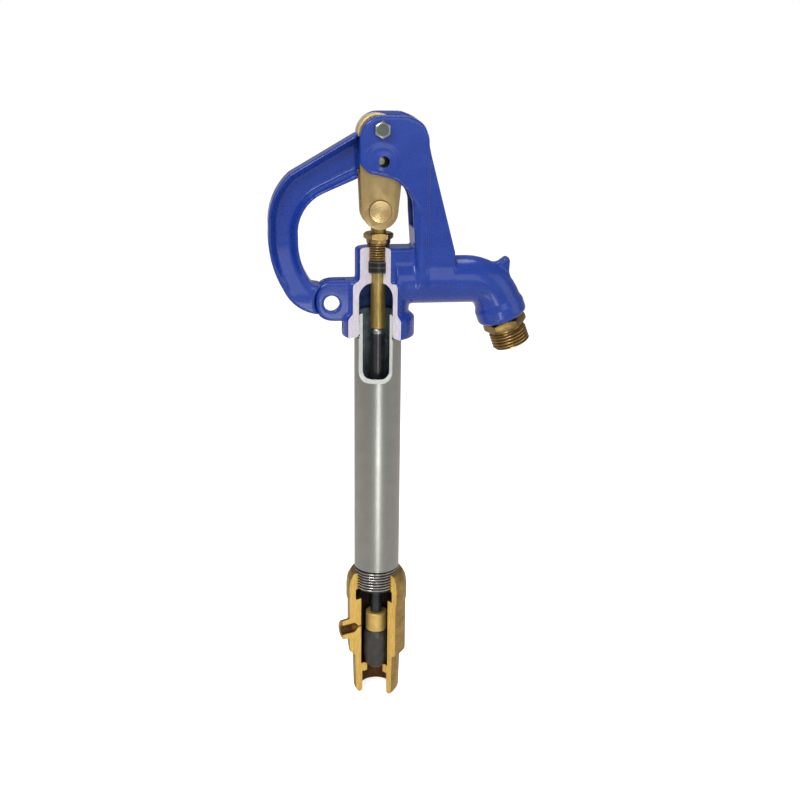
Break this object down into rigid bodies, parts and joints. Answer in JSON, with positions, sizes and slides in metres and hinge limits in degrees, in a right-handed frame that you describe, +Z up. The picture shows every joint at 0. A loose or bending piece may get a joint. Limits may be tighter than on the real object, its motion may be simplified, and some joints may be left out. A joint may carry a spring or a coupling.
{
  "type": "yard hydrant",
  "caption": "Frost-free yard hydrant with a lever handle, link, packed stem, riser pipe, bottom valve and hose outlet, cut open for display.",
  "frame": {"origin": "middle of the inlet mouth at the bottom of the valve body", "axes": "+Z up along the pipe, +X towards the spout, the display cut faces -Y"},
  "size_m": [0.185, 0.0475, 0.4359],
  "materials": {
    "blue_paint": "glossy paint over cast iron",
    "brass": "cast and turned",
    "galvanised_pipe": "galvanised",
    "zinc_steel": "zinc plated",
    "black_rubber": "moulded",
    "black_rod": "black coated steel"
  },
  "bodies": {
    "frame": {"head_casting": "blue_paint", "pivot_bolt": "zinc_steel", "pivot_washer": "zinc_steel", "pivot_nut": "zinc_steel", "packing_nut": "brass", "packing_ring_upper": "black_rubber", "packing_ring_lower": "black_rubber", "packing_washers": "zinc_steel", "stand_pipe": "galvanised_pipe", "valve_body": "brass", "hose_nozzle": "brass"},
    "lever": {"lever_handle": "blue_paint", "lever_hub": "brass"},
    "link": {"link_plate_front": "brass", "link_plate_back": "brass", "link_pin_upper": "brass", "link_pin_lower": "brass", "pin_clip": "zinc_steel"},
    "stem": {"stem_rod": "brass", "rod_ferrule": "zinc_steel", "operating_rod": "black_rod", "plunger_head": "brass", "plunger_stud": "brass", "plunger_rubber": "black_rubber"}
  },
  "joints": [
    {"name": "lever_pivot", "type": "hinge", "parent": "frame", "child": "lever", "pos_m": [0, 0, 0.426], "axis": [0, 1, 0], "range_deg": [0, 60]},
    {"name": "stem_lift", "type": "slide", "parent": "frame", "child": "stem", "axis": [0, 0, 1], "range_m": [0, 0.014]},
    {"name": "link_swing", "type": "hinge", "parent": "stem", "child": "link", "pos_m": [0, 0, 0.372], "axis": [0, 1, 0], "range_deg": [-31, 0]}
  ],
  "couplings": [
    {"joint": "stem_lift", "follows": "lever_pivot", "m_per_rad": 0.013114},
    {"joint": "link_swing", "follows": "lever_pivot", "ratio": -0.5088}
  ]
}
